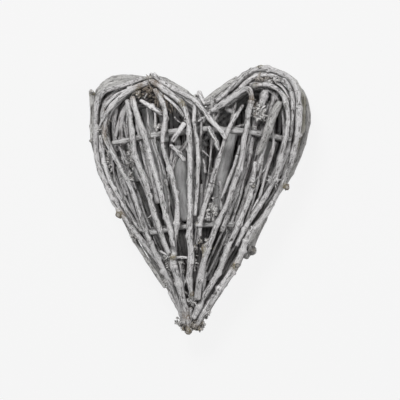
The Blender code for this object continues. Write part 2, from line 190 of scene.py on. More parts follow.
# Marks on the twigs, by kind: the place in the picture and the size in pixels
MARKS = {
    "knob": (
        (92.6, 93.6, 2.4), (252.5, 251.5, 4.0), (120.5, 214.5, 3.4), (287.0, 187.5, 2.8),
        (207.0, 247.0, 4.0), (247.5, 237.5, 2.6), (254.0, 89.0, 2.6), (276.0, 182.0, 2.4),
        (199.5, 226.0, 2.6), (236.5, 265.0, 2.8), (174.0, 256.5, 2.6), (152.5, 75.5, 2.6),
        (170.0, 121.0, 2.2), (191.0, 329.0, 2.0),
    ),
    "bud": (
        (94.5, 142, 2), (152, 153.5, 2), (153, 171, 1.8), (131.9, 115.4, 1.8), (124.7, 140, 2),
        (260.4, 66.9, 2), (251.4, 69.8, 1.6), (296.5, 108.7, 1.4), (156, 210, 1.8), (178.4, 203, 2.2),
        (199, 160.7, 1.8), (191.4, 160.7, 1.6), (220.5, 258.5, 2.2), (171.9, 280.2, 2.2),
        (225.2, 255.6, 1.8), (150, 238.6, 1.8), (279.6, 185.8, 2.2), (222, 176, 1.8), (253.5, 189, 1.8),
        (120, 188, 1.8), (187, 282, 2.0),
    ),
    "ring": (
        (198, 225, 2), (253.5, 185.5, 2), (256.3, 105, 2), (213, 186, 2), (237, 158, 2),
    ),
    "lichen": (
        (140.4, 93.6, 3.5), (183.8, 105.2, 5), (92.6, 93.6, 3), (120.5, 214.5, 4.5), (287.0, 187.5, 3.2),
        (260.4, 66.9, 4), (205, 249, 5), (194, 294, 3.5), (236.3, 266.8, 3), (190.2, 329.6, 5),
        (174, 257, 3),
    ),
    "brown": (
        (254, 89, 5), (148, 80, 6), (140, 88, 5), (156, 86, 6), (160, 92, 5), (252, 100, 5),
        (189, 315, 5), (132, 96, 4), (196, 326, 5), (107, 135, 8), (190.2, 329.6, 7), (240, 268, 5),
        (121, 216, 4),
    ),
    # Painted shade: olive-grey patches that darken the right rim
    "olive_shade": (
        (306.5, 104, 14), (308.5, 122, 16), (304.5, 140, 10),
    ),
}

# Neighbouring twigs with thin strands in the groove between them
BACK_PAIRS = tuple(zip(BACK_ROW, BACK_ROW[1:]))
SIDE_PAIRS = (
    ("left_lower_rim_twig", "back_left_twig_1"), ("left_back_rim_twig", "left_lower_rim_twig"),
    ("right_lower_rim_twig", "back_right_twig_1"), ("right_rim_twig", "right_lower_rim_twig"),
    ("left_side_twig", "left_back_rim_twig"), ("right_side_twig", "right_inner_rim_twig"),
)
LEFT_PAIRS = (
    ("left_side_twig", "left_long_twig"), ("left_side_twig", "left_inner_twig"),
)
RIGHT_PAIRS = (
    ("right_outer_twig", "right_inner_side_twig"), ("right_inner_side_twig", "right_side_twig"),
    ("right_outer_twig", "right_lower_long_twig"), ("right_short_twig", "right_blunt_twig"),
)
LOWER_PAIRS = (
    ("left_long_twig", "left_middle_twig"), ("middle_long_twig", "right_middle_twig"),
    ("right_bent_twig", "right_lower_long_twig"), ("left_ringed_twig", "left_trunk_twig"),
)

# Those strands: the neighbours, how many between two, their radius and lift in m, slot and bark
FILLING = {
    # The back filling strands wear the near-black bark, painted shade for the deep grooves at the back
    "back_filling_strands": (BACK_PAIRS, 2, 0.0033, -0.0004, "back_bark", "bark_in_deep_shade"),
    "back_inner_strands": (BACK_PAIRS, 1, 0.0022, 0.0042, "inner_bark", "back_bark"),
    "side_filling_strands": (SIDE_PAIRS, 2, 0.0026, 0.0, "rim_bark", "rim_bark"),
    "left_lobe_strands": (LEFT_PAIRS, 3, 0.0019, -0.0045, "inner_bark", "inner_bark"),
    "right_lobe_strands": (RIGHT_PAIRS, 2, 0.0017, -0.0050, "inner_bark", "inner_bark"),
    "thin_lower_strands": (LOWER_PAIRS, 2, 0.0014, -0.0060, "inner_bark", "inner_bark"),
}

# How many points those strands have, how far chance moves them aside, as a share, and up or down in m, how
# much it changes their size, how they taper, and their painted shade from the hollow
FILLING_POINTS = 26
FILLING_SPREAD = 0.06
FILLING_RISE = 0.0008
FILLING_SIZES = (0.8, 1.15)
FILLING_TAPER = 0.75
FILLING_SHADE = 0.8

# Strands that close the back at the notch and the tip: height in mm, both ends' thickness and route in
# pixels
WALLS = (
    ("notch_left_wall", (
        (38, (5, 4), ((120, 82), (150, 83), (180, 95), (204, 109), (219, 123))),
        (31, (6, 5), ((112, 92), (146, 86), (178, 98), (202, 112), (218, 128))),
        (24, (6, 5), ((118, 94), (148, 90), (178, 102), (200, 116), (214, 132))),
        (17, (7, 5), ((126, 96), (150, 94), (177, 106), (198, 120), (212, 138))),
        (11, (7, 6), ((132, 100), (152, 99), (176, 111), (196, 126), (208, 146))),
        (7, (7, 6), ((136, 106), (154, 105), (176, 117), (194, 132), (205, 152))),
    )),
    ("notch_right_wall", (
        (37, (5, 4), ((282, 82), (256, 80), (232, 93), (210, 108), (196, 124))),
        (30, (6, 5), ((284, 88), (256, 84), (234, 97), (213, 111), (198, 129))),
        (23, (6, 5), ((284, 94), (256, 88), (236, 101), (216, 115), (202, 134))),
        (16, (7, 5), ((282, 98), (257, 92), (238, 105), (219, 119), (206, 140))),
        (10, (7, 6), ((278, 102), (258, 98), (240, 110), (222, 125), (212, 148))),
    )),
    ("tip_back_strands", (
        (9, (6, 4), ((164, 240), (174, 272), (184, 306))),
        (11, (5, 4), ((158, 248), (171, 282), (184, 314))),
        (14, (6, 4), ((172, 244), (180, 278), (188, 318))),
        (12, (6, 4), ((212, 244), (204, 280), (195, 318))),
        (13, (6, 4), ((222, 246), (210, 284), (198, 316))),
        (16, (5, 4), ((188, 262), (190, 292), (191, 326))),
    )),
)

# Broad, smooth strands that show through the gaps, in the same way
SMOOTH_STRANDS = (
    ("smooth_back_strands", (
        (17, (11, 9), ((148, 130), (157, 168), (165, 203), (170, 226))),
        (15, (12, 10), ((177, 146), (183, 188), (187, 222))),
        (17, (12, 9), ((233, 132), (226, 165), (219, 195), (213, 222))),
        (16, (11, 8), ((252, 148), (243, 182), (234, 212))),
        (15, (8, 7), ((223, 172), (222, 205))),
        (18, (8, 6), ((129, 112), (128, 146), (138, 182))),
        (22, (7, 6), ((272, 142), (263, 172), (250, 204))),
        (20, (9, 8), ((269, 86), (265, 100), (261, 114))),
        (20, (8, 8), ((278, 90), (275, 102), (271, 115))),
        (17, (10, 9), ((146, 108), (149, 124), (150, 142))),
        (17, (9, 8), ((162, 112), (164, 128), (166, 142))),
    )),
)

# How both are laid: the table, its bark, roughness, painted shade from the hollow, share of all painted
# shade and first seed
LAID = (
    (WALLS, "back_bark", 0.7, 1.0, 1.0, SEED["wall"]),
    (SMOOTH_STRANDS, "smooth_bark", 0.2, 0.0, 0.3, SEED["smooth"]),
)

# Short strands: how far under the front twigs in mm, both ends' thickness and route in pixels
STRANDS = (
    ("left_tendril_1", 2, (1.6, 0.7), ((125.2, 176.8), (122, 180.5), (119.8, 181.7))),
    ("left_tendril_2", 2, (1.8, 0.9), ((125.5, 199.3), (124.6, 204), (125, 208.7))),
    ("left_tendril_3", 2, (1.6, 0.8), ((142.5, 221.2), (140, 224), (138.3, 225.2))),
    ("left_tendril_4", 2, (1.6, 0.8), ((152.8, 215.4), (150.5, 217.8), (147.9, 218.5))),
    ("lower_side_shoot_1", 1, (2.4, 2.2), ((161.6, 251.2), (165.5, 253.5), (172, 257))),
    ("lower_side_shoot_2", 2, (2.8, 2.2), ((177, 257.6), (184, 257.2), (191, 258))),
    ("notch_tendril", 7, (1.6, 0.9), ((203, 151.8), (208, 156), (213, 161))),
    ("right_tendril", 4, (1.6, 1.2), ((272, 160.7), (266.2, 168.8), (257.7, 178.6), (253, 184))),
    ("apex_short_strand", 5, (1.8, 1.2), ((175.4, 118.6), (178.5, 122), (182, 124.6))),
    ("leaf_bud", 7, (2.4, 4.2), ((204.3, 160), (205, 166), (206, 174))),
    ("bright_side_shoot", 4, (2.6, 2.4), ((199, 123), (203.5, 119.5), (210, 116))),
    ("tip_strand_1", 2, (3.6, 3.2), ((170, 292), (176.8, 305), (181.8, 315))),
    ("tip_strand_2", 3, (3.2, 2.6), ((169.6, 284.6), (174.1, 293.6), (178, 302))),
    ("tip_strand_3", 3, (3.0, 2.8), ((177.7, 286.9), (180.8, 295.8), (185.3, 304.7))),
    ("tip_strand_4", 4, (4.4, 4.0), ((206.4, 272), (204.4, 284), (203, 295))),
    ("middle_strand_1", 9, (4.0, 3.6), ((202.5, 185), (201.2, 207), (200.7, 222))),
    ("middle_strand_2", 7, (5.0, 4.4), ((220.4, 182), (221.7, 196), (222, 211))),
    ("right_ridged_strand", 5, (5.0, 4.0), ((266.2, 140.6), (262.1, 151.8), (256.5, 172))),
    ("right_grey_strand", 6, (4.6, 4.0), ((275, 142.9), (268, 165), (261, 184))),
    ("right_deep_strand", 8, (5.0, 4.0), ((288.5, 150), (281.8, 170), (276, 186))),
    ("left_deep_strand_1", 9, (4.2, 3.8), ((117.5, 110), (116.3, 132), (119, 152))),
    ("left_deep_strand_2", 9, (4.2, 3.4), ((119, 167), (122, 181), (127, 196))),
    ("crossing_strand", 12, (5.0, 4.4), ((190, 141), (178, 158), (166, 185))),
    ("left_fanned_strand_1", 3, (3.4, 2.6), ((133, 90), (118, 97), (107, 108), (103, 122))),
    ("left_fanned_strand_2", 5, (3.8, 3.0), ((137, 93), (124, 101), (113, 113), (107, 130))),
    ("left_fanned_strand_3", 6, (4.4, 3.6), ((139, 97), (129, 106), (121, 120), (117, 138))),
    ("left_fanned_strand_4", 7, (5.4, 4.6), ((136, 99), (127, 112), (123, 128), (124, 146))),
    ("left_fanned_strand_5", 6, (2.6, 2.0), ((128, 96), (117, 104), (110, 118), (108, 130))),
    ("left_fanned_strand_6", 8, (3.0, 2.4), ((133, 104), (129, 118), (128, 133), (131, 150))),
    ("left_top_strand_1", 9, (4.0, 3.4), ((148, 84), (130, 89), (114, 96), (104, 106))),
    ("left_top_strand_2", 11, (3.4, 3.0), ((150, 88), (134, 93), (120, 100), (110, 110))),
    ("notch_stub", 5, (5.4, 5.0), ((206, 106), (202, 99), (199.2, 92.5))),
    ("notch_closing_strand", 8, (5.0, 4.6), ((196, 98), (205, 105), (216, 101))),
    ("right_top_strand_1", 5, (3.4, 3.0), ((226, 108), (244, 96), (256, 88), (268, 84))),
    ("right_top_strand_2", 8, (3.0, 2.6), ((248, 90), (262, 82), (278, 84), (288, 94))),
    ("right_top_strand_3", 6, (2.6, 2.2), ((250, 86), (266, 81), (281, 87), (290, 100))),
    ("right_crook_strand", 4, (3.0, 2.4), ((270, 86), (280, 92), (287, 103), (288, 118))),
    ("upper_right_strand_1", 7, (3.6, 3.0), ((236, 104), (232, 120), (227, 136))),
    ("upper_right_strand_2", 9, (4.4, 3.8), ((226, 110), (236, 116), (230, 132))),
    ("notch_short_strand", 5, (3.6, 3.0), ((212, 112), (207, 118), (204, 124))),
    ("notch_inner_strand", 9, (4.0, 3.4), ((210, 106), (219, 114), (213, 124))),
    ("window_strand_1", 12, (4.0, 3.4), ((196, 140), (200, 156), (196, 178))),
    ("window_strand_2", 10, (3.4, 3.0), ((174, 150), (171, 172), (176, 190))),
    ("tip_left_stub", 5, (3.4, 2.8), ((187, 321), (183, 323), (179, 326))),
    ("tip_right_stub", 5, (4.4, 3.8), ((193, 321), (198.5, 324), (204, 328.5))),
    ("tip_low_stub", 4, (4.0, 3.4), ((190, 322), (195, 328), (199, 331))),
    ("tip_side_stub", 5, (3.0, 2.6), ((201, 308), (204.5, 312), (208, 317))),
    ("tip_twist_1", 3, (5.0, 3.4), ((184, 312), (187, 323), (190, 331))),
    ("tip_twist_2", 3, (5.0, 3.4), ((199, 312), (195.5, 323), (192, 331.5))),
    ("tip_twist_3", 1, (4.6, 3.0), ((191.5, 308), (191.5, 320), (191, 332))),
    ("left_short_shoot_end", 5, (4.8, 4.0), ((157, 110.5), (162.5, 115), (168, 119.5))),
    ("left_gap_strand", 17, (5.6, 5.0), ((140, 128), (146, 150), (152, 176), (159, 204))),
    ("left_gap_thin_strand", 9, (2.8, 2.4), ((137, 120), (142, 146), (147, 168), (153, 190))),
    ("right_joint_strand", 0, (6.0, 6.6), ((253, 227), (249, 235), (245, 244))),
    ("lower_right_thin_strand", 3, (2.6, 2.2), ((262, 196), (250, 216), (240, 236))),
    ("lower_left_gap_strand", 5, (4.4, 3.6), ((181, 262), (182.5, 280), (185, 298))),
)

# From what thickness those strands have more sides and a blunt end, in pixels, and from what depth they
# count as inside, in mm
THICK_STRAND = 2.5
BLUNT_END = 2
DEEP_STRAND = 6

# Cut stubs that stand up from a twig: place and thickness in pixels, rise in mm and lean in pixels
STUBS = (
    ("right_swirl_stub", 253.5, 251.2, 8.0, 2.6, 0.8, 0.4),
    ("lichen_knot_stub", 205.5, 248.0, 6.4, 0.5, 0.3, 0.2),
    ("middle_end_lichen_stub", 193.0, 294.0, 4.6, 1.2, 0.2, 0.6),
    ("right_ringed_stub", 253.3, 186.5, 5.0, 2.0, 0.2, -0.8),
    ("left_lichen_stub", 120.6, 214.8, 7.0, 2.2, -1.0, -0.8),
    ("right_lichen_stub", 286.2, 187.6, 6.0, 1.8, 1.0, -0.4),
    ("corner_stub", 92.6, 93.6, 4.2, 1.6, -0.8, 1.6),
    ("bent_knot_stub", 254.0, 88.5, 5.0, 1.6, 0.4, 1.4),
    ("apex_knot_stub", 152.0, 79.5, 4.6, 1.4, -0.4, 0.6),
    ("middle_knot_stub", 199.0, 224.5, 4.6, 1.4, -1.0, 0.6),
    ("side_bud_stub", 93.4, 142.0, 3.4, 1.0, -1.4, 0.2),
    ("lower_knot_stub", 237.0, 265.0, 4.6, 1.4, 1.0, -0.6),
    ("top_bud_stub", 260.0, 69.5, 3.6, 1.0, 0.0, 0.8),
)

# Stubs: their thickness along them, how light they are, and the mark on those with lichen
STUB_PROFILE = (1.05, 1.1, 1.0, 0.95, 1.05, 0.9)
STUB_TONE = 0.75
STUB_MARK = (0.004, math.pi / 2, 0.01)

# Tufts: place, width and height in pixels, how many bits of what size in pixels, their depth under the
# front twigs in mm, their kind and their bark
CLUSTERS = (
    ("apex_bark_tuft", 149, 93, 11, 8, 60, 2.4, 2, "crumbs", "umber_bark"),
    ("apex_shreds", 165, 101, 12, 10, 40, 2.4, 5, "shreds", "umber_bark"),
    ("apex_top_tuft", 152, 81, 6, 3, 28, 1.7, 1, "mixed", "brown_bark"),
    ("arch_shreds", 134, 95, 12, 5, 30, 1.8, 4, "shreds", "inner_bark"),
    ("left_shaggy_bark", 107, 130, 3, 16, 40, 1.6, 1, "shreds", "brown_bark"),
    ("left_dark_tuft", 109, 162, 4.5, 16, 64, 1.7, 3.5, "crumbs", "tuft_bark"),
    ("left_shaggy_tuft", 133, 157, 6, 12, 90, 1.8, 2.5, "crumbs", "tuft_bark"),
    ("left_low_tuft", 132, 178, 3, 5, 20, 1.6, 3, "mixed", "tuft_bark"),
    ("crossbar_tuft", 158, 128, 3.5, 2.5, 20, 2.3, 4, "crumbs", "tuft_bark"),
    ("right_window_tuft", 260, 115, 9, 9, 84, 2.5, 3, "crumbs", "tuft_bark"),
    ("middle_tuft", 213, 209, 5, 8, 60, 2.0, 4, "mixed", "tuft_bark"),
    ("middle_bright_buds", 209, 218, 2, 2, 8, 2.6, 5, "crumbs", "whitewashed_bark"),
    ("right_side_tuft", 288, 149, 5, 6, 34, 1.8, 4, "mixed", "tuft_bark"),
    ("right_fibrous_knot", 274, 181, 5, 3, 34, 1.8, 1, "shreds", "whitewashed_bark"),
    ("lower_left_tuft", 169, 267, 4.5, 10, 90, 1.9, 1.5, "crumbs", "tuft_bark"),
    ("tip_crossing_shreds", 172, 282, 5, 3, 20, 1.8, 1, "shreds", "tuft_bark"),
    ("lichen_knot_tuft", 205, 247, 6.5, 6.5, 110, 1.8, -1, "crumbs", "tuft_bark"),
    ("lower_middle_tuft", 195, 262, 3.0, 8, 30, 1.7, 4, "mixed", "tuft_bark"),
    ("tip_left_tuft", 180, 324, 3.6, 5.0, 44, 2.1, 3, "crumbs", "tuft_bark"),
    ("tip_right_tuft", 203, 326.5, 4.4, 5.0, 60, 2.3, 3, "crumbs", "tuft_bark"),
    ("tip_side_tuft", 207.5, 315, 3.2, 6.5, 44, 2.2, 3, "crumbs", "tuft_bark"),
    ("tip_lichen_mass", 191.5, 326.5, 9.0, 4.5, 90, 2.6, 0, "crumbs", "brown_bark"),
    ("right_top_knot_tuft", 272, 81, 8, 4, 46, 2.6, 0.5, "crumbs", "tuft_bark"),
    ("right_crook_tuft", 286, 104, 2.5, 7, 24, 1.5, 4, "shreds", "tuft_bark"),
    ("left_arch_end_shreds", 101, 131, 3, 3, 16, 1.7, 1, "shreds", "tuft_bark"),
    ("middle_fine_shreds", 215, 180, 3, 10, 18, 1.8, 5, "shreds", "inner_bark"),
    ("left_fine_shreds", 124, 170, 5, 12, 22, 1.8, 4, "shreds", "inner_bark"),
    ("lower_right_shreds", 232, 232, 6, 12, 22, 1.8, 4, "shreds", "inner_bark"),
    ("notch_knot_tuft", 199.8, 93.5, 2.2, 2.0, 18, 1.5, 5, "crumbs", "tuft_bark"),
    ("corner_lichen_tuft", 92.5, 93.5, 2.0, 2.0, 16, 1.6, 12, "crumbs", "tuft_bark"),
    ("right_knob_tuft", 251, 250, 3.0, 4.0, 30, 2.0, 12, "crumbs", "tuft_bark"),
    ("side_lichen_tuft", 120.5, 215, 2.6, 2.8, 34, 1.5, 0, "crumbs", "tuft_bark"),
    ("right_lichen_tuft", 287, 187.5, 1.8, 2.0, 22, 1.8, 4, "crumbs", "tuft_bark"),
    ("top_lichen_tuft", 257, 67, 4.0, 1.4, 18, 1.6, 10, "crumbs", "rim_bark"),
    # This tuft wears the near-black bark, painted shade
    ("apex_dark_tuft", 151, 97, 13, 8, 46, 3.2, 5, "crumbs", "bark_in_deep_shade"),
    ("apex_lichen_tuft", 139, 95, 3.5, 3.5, 18, 2.0, 1, "crumbs", "brown_bark"),
    ("lower_left_side_tuft", 182, 266, 3.0, 7, 44, 1.7, 4, "crumbs", "tuft_bark"),
    ("right_window_shreds", 253, 112, 3, 8, 18, 2.2, 4, "shreds", "brown_bark"),
    ("right_top_dark_tuft", 261, 80, 9, 3, 30, 2.4, 2, "mixed", "brown_bark"),
    ("middle_end_tuft", 193.5, 298, 4.0, 7.0, 56, 1.9, 0, "mixed", "tuft_bark"),
    ("left_edge_tuft", 133.5, 236, 2.6, 5.5, 30, 1.5, 0, "mixed", "tuft_bark"),
    ("left_low_edge_tuft", 163, 285, 2.4, 4.0, 24, 1.5, 0, "crumbs", "tuft_bark"),
)

# Tufts whose bits all sit on a twig
CLINGING = (
    "apex_top_tuft", "left_shaggy_bark", "tip_left_tuft", "tip_right_tuft", "tip_side_tuft",
    "tip_lichen_mass", "notch_knot_tuft", "corner_lichen_tuft", "right_knob_tuft", "side_lichen_tuft",
    "right_lichen_tuft", "top_lichen_tuft", "lichen_knot_tuft", "left_arch_end_shreds", "middle_end_tuft",
    "left_edge_tuft", "left_low_edge_tuft", "right_top_knot_tuft",
)

# Bits of a tuft: how they spread over it, how much deeper in mm and larger chance makes them, their size
# over the listed one, a shred's over a crumb's, the way shreds lie, how high bits stack on a twig in their
# own sizes, how finely they are meshed, and the mark on every third bit of a lichen tuft
BIT_SPREAD = 0.5
BIT_DEPTHS = (-2.5, 1.5)
BIT_SIZES = (0.6, 1.3)
BIT_SIZE = 1.4
SHRED_SIZE = 2.6
SHRED_HEADING = math.radians(-75)
STACKING = 1.7
BIT_RINGS = 6
SMALLEST_STEP = 0.0002
BIT_MARK = ("lichen", 0.0, math.pi / 2, 0.02)

# The floor: its size, how far it lies under the heart, how much light it throws back and how it glows, and
# the shade on it: how soft its edge is, the reach and cells of its grid in m, and its outline in pixels
FLOOR_SIZE = 12.0
FLOOR_DEPTH = 0.0002
FLOOR_DIFFUSE = 0.05
FLOOR_GLOW = 0.87
SHADE_REACH = 0.03
SHADE_GRID = 0.17
SHADE_CELL = 0.005
SHADE_ROUTE = (
    (205, 116), (190, 104), (170, 94), (150, 88), (130, 86), (114, 92), (104, 106), (102, 130), (110, 162),
    (126, 200), (148, 242), (170, 282), (187, 312), (199, 312), (214, 284), (236, 244), (260, 206),
    (280, 170), (294, 136), (297, 110), (288, 92), (274, 84), (256, 86), (238, 96), (220, 106),
)

# The light: its colour and strength from all round, and each lamp's place, width and power in W
WHITE = (1.0, 1.0, 1.0, 1.0)
AMBIENT = 0.262
LIGHTS = (
    ("key_light", (-0.45, 1.0, 1.65), 0.65, 26.4),
    ("fill_light", (1.1, 0.3, 1.4), 1.2, 8.0),
)


def lattice(key):
    """A fixed pseudo-random number from 0 to 1 for each whole number."""
    key = key & 0xFFFFFFFF
    key = ((key ^ (key >> 16)) * 73244475) & 0xFFFFFFFF
    key = ((key ^ (key >> 16)) * 73244475) & 0xFFFFFFFF
    return ((key ^ (key >> 16)) & 0xFFFF) / 65535.0


def blended(cell, part, value):
    """What value gives at the eight corners of each cell, blended by the part of the way to them."""
    total = np.zeros(part.shape[:-1])
    for corner in itertools.product((0, 1), repeat=3):
        weight = np.ones(part.shape[:-1])
        for k in range(3):
            weight = weight * (part[..., k] if corner[k] else 1 - part[..., k])
        total += weight * value(*(cell[..., k] + corner[k] for k in range(3)))
    return total


def noise(points, seed):
    """Smooth noise from 0 to 1 at each point, with lumps one unit across."""
    cell = np.floor(points).astype(np.int64)
    part = points - cell
    return blended(cell, part * part * (3 - 2 * part),
                   lambda x, y, z: lattice(x * 7919 + y * 104729 + z * 1299709 + seed * 15485863))


def layered(points, seed, layers):
    """Noise with finer noise on it, from 0 to 1."""
    total = sum(noise(points * 2 ** k, seed + 31 * k) / 2 ** k for k in range(layers))
    return total / sum(1 / 2 ** k for k in range(layers))


def hump(distance, width):
    """A smooth hump, 1 in its middle and next to nothing at twice its width."""
    return np.exp(-(distance / width) ** 2)


def smooth_step(low, high, value):
    """From 0 below the low value to 1 above the high one."""
    t = np.clip((value - low) / (high - low), 0, 1)
    return t * t * (3 - 2 * t)


def spot(px, py):
    """The plan position of a point of the picture."""
    return np.array([(px - MIDDLE_X) * PIXEL, (MIDDLE_Y - py) * PIXEL])


def smooth_path(points, steps=16):
    """A smooth curve through the points."""
    points = np.asarray(points, float)
    ends = np.concatenate([[2 * points[0] - points[1]], points, [2 * points[-1] - points[-2]]])
    t = np.arange(steps)[:, None] / steps
    runs = []
    for i in range(1, len(ends) - 2):
        a, b, c, d = ends[i - 1:i + 3]
        bend = (2 * a - 5 * b + 4 * c - d) * t * t + (3 * b - a - 3 * c + d) * t * t * t
        runs.append(b + ((c - a) * t + bend) / 2)
    return np.concatenate(runs + [points[-1:]])


def lengths(points):
    """The distance along the path at each of its points."""
    return np.concatenate([[0.0], np.cumsum(np.linalg.norm(np.diff(points, axis=0), axis=1))])


def at_steps(points, radii, step):
    """The path with its points a step apart, its radii there and the distance along it."""
    along = lengths(points)
    count = max(4, int(math.ceil(along[-1] / step)) + 1)
    wanted = np.linspace(0, along[-1], count)
    path = np.stack([np.interp(wanted, along, points[:, k]) for k in range(3)], axis=1)
    return path, np.interp(wanted, along, radii), wanted


def rings_of(corners, edges):
    """The corners of a tube's mesh grouped into its rings, and the rings that edges join."""
    group = np.full(len(corners), -1)
    count = 0
    for first in range(len(corners)):
        if group[first] >= 0:
            continue
        group[first] = count
        waiting = [first]
        while waiting:
            here = waiting.pop()
            apart = np.linalg.norm(corners - corners[here], axis=1)
            for near in np.flatnonzero((apart < RING_REACH) & (group < 0)):
                group[near] = count
                waiting.append(near)
        count += 1
    joined = {tuple(sorted((group[a], group[b]))) for a, b in edges if group[a] != group[b]}
    return group, count, joined


def centreline(node):
    """A solid twig's centreline and radii, read from its rings of corners, from its upper end."""
    mesh = node.data
    places = np.array([node.matrix_world @ v.co for v in mesh.vertices])
    corners, same = np.unique(np.round(places, 6), axis=0, return_inverse=True)
    same = same.ravel()
    above = corners[:, 2] > FLOOR_CORNER
    number = np.cumsum(above) - 1
    edges = [(number[same[a]], number[same[b]]) for a, b in (e.vertices for e in mesh.edges)
             if above[same[a]] and above[same[b]]]
    corners = corners[above]
    group, count, joined = rings_of(corners, edges)
    middles, radii = [], []
    for ring in range(count):
        own = corners[group == ring]
        apart = np.linalg.norm(own[:, None] - own[None], axis=2)
        a, b = np.unravel_index(apart.argmax(), apart.shape)
        middles.append((own[a] + own[b]) / 2)
        radii.append(apart[a, b] / 2)
    beside = {ring: [] for ring in range(count)}
    for a, b in sorted(joined):
        beside[a].append(b)
        beside[b].append(a)
    ends = [ring for ring in range(count) if len(beside[ring]) == 1]
    middles = np.array(middles)
    start = min(ends, key=lambda ring: middles[ring][0] - 2 * middles[ring][1])
    order = [start]
    while len(order) < count:
        onward = [ring for ring in beside[order[-1]] if ring not in order]
        if not onward:
            break
        order.append(onward[0])
    return middles[order], np.array(radii)[order]


def frames(path):
    """The way along a path at each point, the level direction across it, and the one out of it."""
    ahead = np.gradient(path, axis=0)
    ahead /= np.linalg.norm(ahead, axis=1)[:, None]
    across = np.cross(ahead, (0.0, 0.0, 1.0))
    size = np.linalg.norm(across, axis=1)[:, None]
    across = np.where(size > 0.05, across / np.maximum(size, 0.05), (1.0, 0.0, 0.0))
    across -= ahead * np.sum(across * ahead, axis=1)[:, None]
    across /= np.linalg.norm(across, axis=1)[:, None]
    return ahead, across, np.cross(across, ahead)


def angle_gap(angle, middle):
    """How far apart two angles are, whichever way round."""
    return np.abs((angle - middle + math.pi) % (2 * math.pi) - math.pi)


def blurred(field, times):
    """The field smoothed over its neighbouring cells."""
    for axis in list(range(3)) * times:
        field = (np.roll(field, 1, axis) + 2 * field + np.roll(field, -1, axis)) / 4
    return field


def fullness():
    """The low corner of a grid over the heart, and how full of twigs each of its cells is."""
    low = ALL_POINTS.min(axis=0) - MARGIN * CELL
    size = np.ceil((ALL_POINTS.max(axis=0) - low) / CELL).astype(int) + MARGIN
    field = np.zeros(size)
    reach = np.arange(-3, 4)
    around = np.stack(np.meshgrid(reach, reach, reach, indexing="ij"), axis=-1).reshape(-1, 3)
    near = np.round((ALL_POINTS - low) / CELL).astype(int)[:, None] + around
    away = np.linalg.norm(low + near * CELL - ALL_POINTS[:, None], axis=2)
    field[tuple(near[away < ALL_RADII[:, None]].T)] = 1
    return low, blurred(field, 2)


def crowding(points):
    """How full of twigs the space round each point is."""
    low, field = FULLNESS
    place = np.clip((points - low) / CELL, 0, np.array(field.shape) - 1.001)
    cell = place.astype(int)
    return blended(cell, place - cell, lambda x, y, z: field[x, y, z])


def painted_shade(corners, ways, inside):
    """Painted shade in the clefts between twigs, on what faces the hollow and on the twigs' flanks, from 0
    to 1.
    """
    close = sum(share * crowding(corners + ways * away) for away, share in CLEFTS)
    cleft = smooth_step(*CLEFT_RANGE, close)
    core = corners * CORE_SHARES + (0.0, 0.0, CORE_HEIGHT)
    inward = core - corners
    inward /= np.linalg.norm(inward, axis=-1)[..., None]
    facing = np.sum(inward * ways, axis=-1)
    low_down = smooth_step(*LOW_RANGE, corners[..., 1])
    hidden = smooth_step(*FACING_RANGE, facing) * inside * (INSIDE_SHADE[0] + INSIDE_SHADE[1] * low_down)
    flank = smooth_step(*FLANK_RANGE, np.maximum(-facing, np.abs(ways[..., 2]))) * FLANK_SHADE
    return np.maximum(np.maximum(cleft * CLEFT_SHADE, flank), hidden)


def knot_places(rng, length):
    """Where a twig has its natural joints, as distances along it."""
    places = []
    here = rng.uniform(*JOINT_SPACING) * FIRST_JOINT
    while here < length - LAST_JOINT:
        places.append(here)
        here += rng.uniform(*JOINT_SPACING)
    return places


def kinked(path, along, joints, amount, rng):
    """The path bent a little at each joint, and straight between them."""
    knots = [0.0, *joints, along[-1]]
    for way in frames(path)[1:]:
        shifts = rng.normal(0, amount, len(knots))
        shifts[[0, -1]] = 0
        path = path + way * np.interp(along, knots, shifts)[:, None]
    return path


